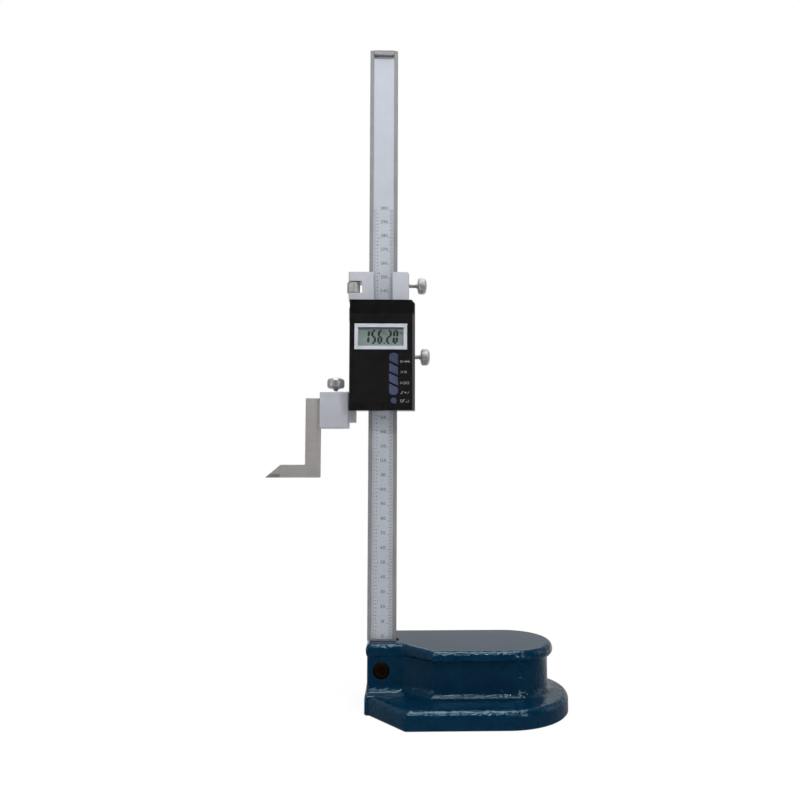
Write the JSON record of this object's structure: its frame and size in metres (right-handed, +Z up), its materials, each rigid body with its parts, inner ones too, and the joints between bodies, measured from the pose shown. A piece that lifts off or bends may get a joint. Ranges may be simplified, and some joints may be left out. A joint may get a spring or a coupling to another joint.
{
  "type": "digital height gauge",
  "caption": "Digital height gauge: a graduated steel beam in an enamelled cast base, with a display slider, a fine-adjust carriage and a carbide-tipped scriber in a clamp.",
  "frame": {"origin": "on the ground face of the base, below the middle of the beam", "axes": "+Z up along the beam, +X along the base away from the scriber, -Y towards the user who reads the scale"},
  "size_m": [0.2079, 0.091, 0.4656],
  "materials": {
    "cast_enamel": "gloss enamel with a fine orange-peel on cast iron",
    "beam_steel": "satin ground stainless steel",
    "scale_plate": "matte silver plate with dark graduations",
    "satin_chrome": "satin chrome plated steel",
    "tool_steel": "ground hardened steel",
    "carbide": "dark ground carbide",
    "screw_steel": "plain steel screws",
    "brown_screw": "oiled black-brown cap screw",
    "brass": "bare brass",
    "black_gloss": "polished black moulded plastic",
    "frame_lilac": "pale satin plastic",
    "window_clear": "clear acrylic",
    "lcd_grey": "grey-green liquid crystal glass",
    "key_rubber": "satin blue-grey silicone rubber",
    "mat_rubber": "dark silicone rubber",
    "board_green": "lacquered glass-epoxy board",
    "cell_steel": "bright nickel plated can"
  },
  "bodies": {
    "root": {"base_casting": "cast_enamel", "beam": "beam_steel", "scale_strip": "scale_plate", "beam_clamp_screw": "brown_screw", "beam_clamp_washer": "brown_screw", "top_stop": "beam_steel", "stop_pins": "screw_steel"},
    "slider": {"slider_frame": "satin_chrome", "slider_gib": "brass", "gib_set_screws": "screw_steel", "slider_back_plate": "satin_chrome", "back_plate_screws": "screw_steel", "housing_screws": "screw_steel", "display_housing": "black_gloss", "lcd_bezel": "frame_lilac", "lcd_window": "window_clear", "lcd_panel": "lcd_grey", "lcd_connector": "mat_rubber", "sensor_board": "board_green", "keypad_mat": "mat_rubber", "battery": "cell_steel", "battery_contact": "brass", "data_socket": "black_gloss", "adjusting_screw": "screw_steel", "scriber_clamp": "satin_chrome"},
    "battery_cover": {"battery_cover": "black_gloss"},
    "data_port_cover": {"data_port_cover": "black_gloss"},
    "slider_clamp_pad": {"slider_clamp_pad": "brass"},
    "slider_clamp_screw": {"slider_clamp_screw": "satin_chrome"},
    "carriage": {"carriage_block": "satin_chrome", "carriage_gib": "brass"},
    "fine_adjust_nut": {"fine_adjust_nut": "satin_chrome"},
    "carriage_clamp_pad": {"carriage_clamp_pad": "brass"},
    "carriage_clamp_screw": {"carriage_clamp_screw": "satin_chrome"},
    "scriber": {"scriber": "tool_steel", "carbide_tip": "carbide"},
    "scriber_clamp_pad": {"scriber_clamp_pad": "brass"},
    "scriber_clamp_screw": {"scriber_clamp_screw": "satin_chrome"},
    "button_1": {"button_1": "key_rubber"},
    "button_2": {"button_2": "key_rubber"},
    "button_3": {"button_3": "key_rubber"},
    "button_4": {"button_4": "key_rubber"},
    "button_5": {"button_5": "key_rubber"}
  },
  "joints": [
    {"name": "slider_slide", "type": "slide", "parent": "root", "child": "slider", "axis": [0, 0, 1], "range_m": [-0.1562, 0.1438]},
    {"name": "carriage_slide", "type": "slide", "parent": "slider", "child": "carriage", "axis": [0, 0, 1], "range_m": [-0.001, 0.006]},
    {"name": "fine_adjust_turn", "type": "hinge", "parent": "carriage", "child": "fine_adjust_nut", "pos_m": [-0.0209, -0.0024, 0.28955], "axis": [0, 0, 1], "range_deg": [-721, 4321]},
    {"name": "slider_clamp_travel", "type": "slide", "parent": "slider", "child": "slider_clamp_pad", "axis": [1, 0, 0], "range_m": [0, 0.001]},
    {"name": "slider_clamp_turn", "type": "hinge", "parent": "slider_clamp_pad", "child": "slider_clamp_screw", "pos_m": [0.02, 0.00175, 0.241], "axis": [1, 0, 0], "range_deg": [0, 721]},
    {"name": "carriage_clamp_travel", "type": "slide", "parent": "carriage", "child": "carriage_clamp_pad", "axis": [1, 0, 0], "range_m": [0, 0.001]},
    {"name": "carriage_clamp_turn", "type": "hinge", "parent": "carriage_clamp_pad", "child": "carriage_clamp_screw", "pos_m": [0.02, 0.00175, 0.2922], "axis": [1, 0, 0], "range_deg": [0, 721]},
    {"name": "scriber_clamp_travel", "type": "slide", "parent": "slider", "child": "scriber_clamp_pad", "axis": [0, 0, 1], "range_m": [0, 0.0003]},
    {"name": "scriber_clamp_turn", "type": "hinge", "parent": "scriber_clamp_pad", "child": "scriber_clamp_screw", "pos_m": [-0.033, -0.00015, 0.215], "axis": [0, 0, 1], "range_deg": [0, 217]},
    {"name": "scriber_slide", "type": "slide", "parent": "slider", "child": "scriber", "axis": [-1, 0, 0], "range_m": [0, 0.008]},
    {"name": "battery_cover_slide", "type": "slide", "parent": "slider", "child": "battery_cover", "axis": [0, 0, -1], "range_m": [0, 0.016]},
    {"name": "data_port_cover_slide", "type": "slide", "parent": "slider", "child": "data_port_cover", "axis": [1, 0, 0], "range_m": [0, 0.015]},
    {"name": "button_1_press", "type": "slide", "parent": "slider", "child": "button_1", "axis": [0, 1, 0], "range_m": [0, 0.0006], "stiffness_N_per_m": 200},
    {"name": "button_2_press", "type": "slide", "parent": "slider", "child": "button_2", "axis": [0, 1, 0], "range_m": [0, 0.0006], "stiffness_N_per_m": 200},
    {"name": "button_3_press", "type": "slide", "parent": "slider", "child": "button_3", "axis": [0, 1, 0], "range_m": [0, 0.0006], "stiffness_N_per_m": 200},
    {"name": "button_4_press", "type": "slide", "parent": "slider", "child": "button_4", "axis": [0, 1, 0], "range_m": [0, 0.0006], "stiffness_N_per_m": 200},
    {"name": "button_5_press", "type": "slide", "parent": "slider", "child": "button_5", "axis": [0, 1, 0], "range_m": [0, 0.0006], "stiffness_N_per_m": 200}
  ],
  "couplings": [
    {"joint": "fine_adjust_turn", "follows": "carriage_slide", "rad_per_m": 12566},
    {"joint": "slider_clamp_turn", "follows": "slider_clamp_travel", "rad_per_m": 12566},
    {"joint": "carriage_clamp_turn", "follows": "carriage_clamp_travel", "rad_per_m": 12566},
    {"joint": "scriber_clamp_turn", "follows": "scriber_clamp_travel", "rad_per_m": 12566}
  ]
}
